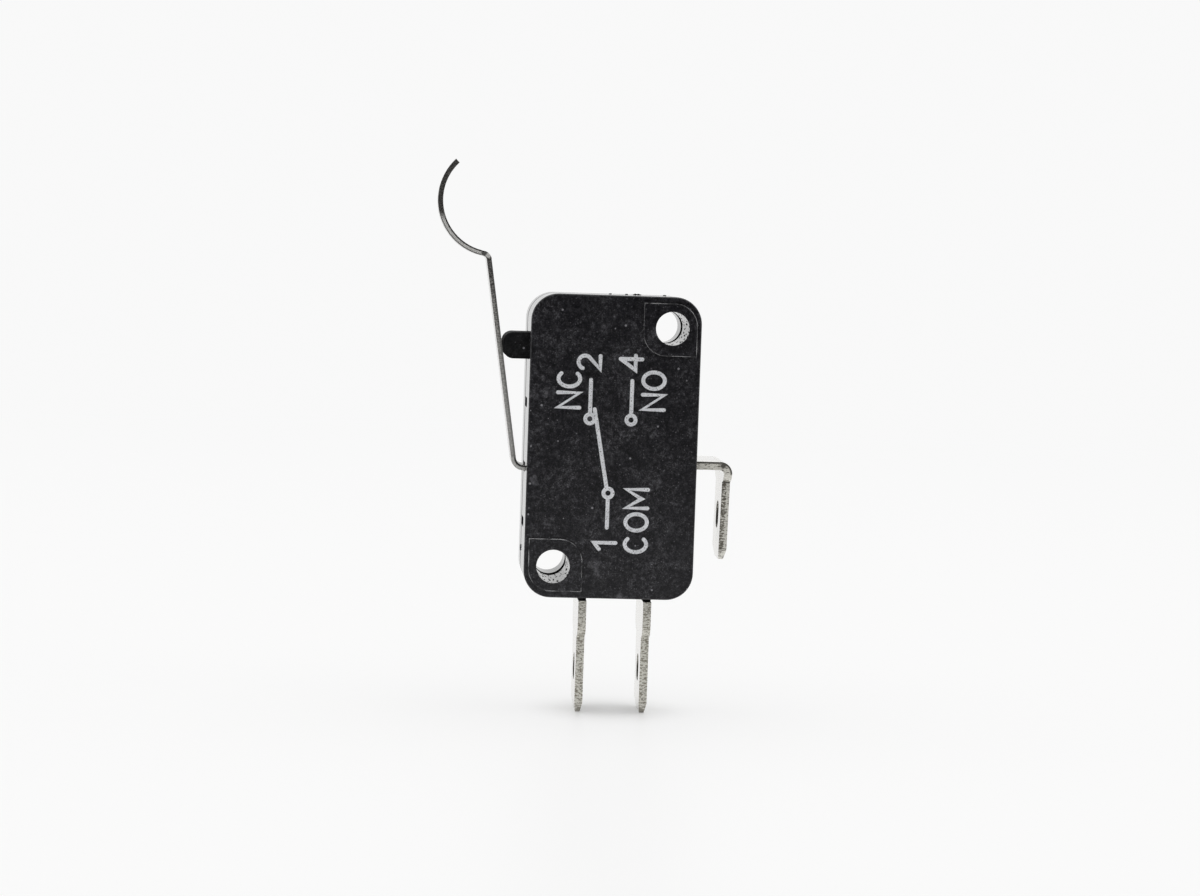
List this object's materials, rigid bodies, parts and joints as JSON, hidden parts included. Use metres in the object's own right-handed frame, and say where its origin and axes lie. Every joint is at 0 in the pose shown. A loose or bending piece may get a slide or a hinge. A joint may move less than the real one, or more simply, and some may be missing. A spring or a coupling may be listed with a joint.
{
  "type": "micro switch",
  "caption": "Snap-action micro switch: black moulded body with through holes, sprung plunger, hinged steel lever with a rounded tip, changeover contacts and plated push-on tabs",
  "frame": {"origin": "midway between the two mounting holes, in the plane of the raised pads on the mounting face", "axes": "+Y out of the mounting face, +Z along the body from the two lower tabs to the lever's tip, -X towards the plunger and lever, +X towards the common tab"},
  "size_m": [0.028, 0.0103, 0.0512],
  "materials": {
    "case_plastic": "black moulded thermoset with a fine satin grain and light dust",
    "cover_plastic": "black moulded thermoset with a fine satin grain",
    "plunger_plastic": "black moulded plastic, slightly shiny on the nose",
    "lever_steel": "rolled stainless strip with sheared edges",
    "terminal_plate": "brass strip with a bright tin-grey plating and sheared edges",
    "contact_silver": "silver alloy rivet",
    "arm_copper": "bare copper-alloy spring strip",
    "spring_steel": "drawn steel wire"
  },
  "bodies": {
    "housing": {"case": "case_plastic", "cover": "cover_plastic", "com_terminal": "terminal_plate", "no_terminal": "terminal_plate", "nc_terminal": "terminal_plate", "no_contact": "contact_silver", "nc_contact": "contact_silver"},
    "lever": {"lever": "lever_steel"},
    "plunger": {"plunger": "plunger_plastic"},
    "contact_arm": {"contact_arm": "arm_copper", "moving_contact": "contact_silver"},
    "snap_spring": {"snap_spring": "spring_steel"}
  },
  "joints": [
    {"name": "lever_hinge", "type": "hinge", "parent": "housing", "child": "lever", "pos_m": [-0.007, -0.00515, -0.0023], "axis": [0, 1, 0], "range_deg": [0, 8.6], "stiffness_Nm_per_rad": 0.06, "springref_deg": -5.73},
    {"name": "plunger_slide", "type": "slide", "parent": "housing", "child": "plunger", "axis": [1, 0, 0], "range_m": [0, 0.00168]},
    {"name": "arm_pivot", "type": "hinge", "parent": "housing", "child": "contact_arm", "pos_m": [0.0022, -0.00515, 0.00495], "axis": [0, -1, 0], "range_deg": [0, 3.75]},
    {"name": "spring_swing", "type": "hinge", "parent": "plunger", "child": "snap_spring", "pos_m": [0.0021, -0.00515, 0.0075], "axis": [0, 1, 0], "range_deg": [0, 5.65], "deforming": ["snap_spring"]}
  ],
  "couplings": [
    {"joint": "plunger_slide", "follows": "lever_hinge", "m_per_rad": 0.011201},
    {"joint": "arm_pivot", "follows": "lever_hinge", "ratio": 0.43604},
    {"joint": "spring_swing", "follows": "lever_hinge", "ratio": 0.65697}
  ]
}
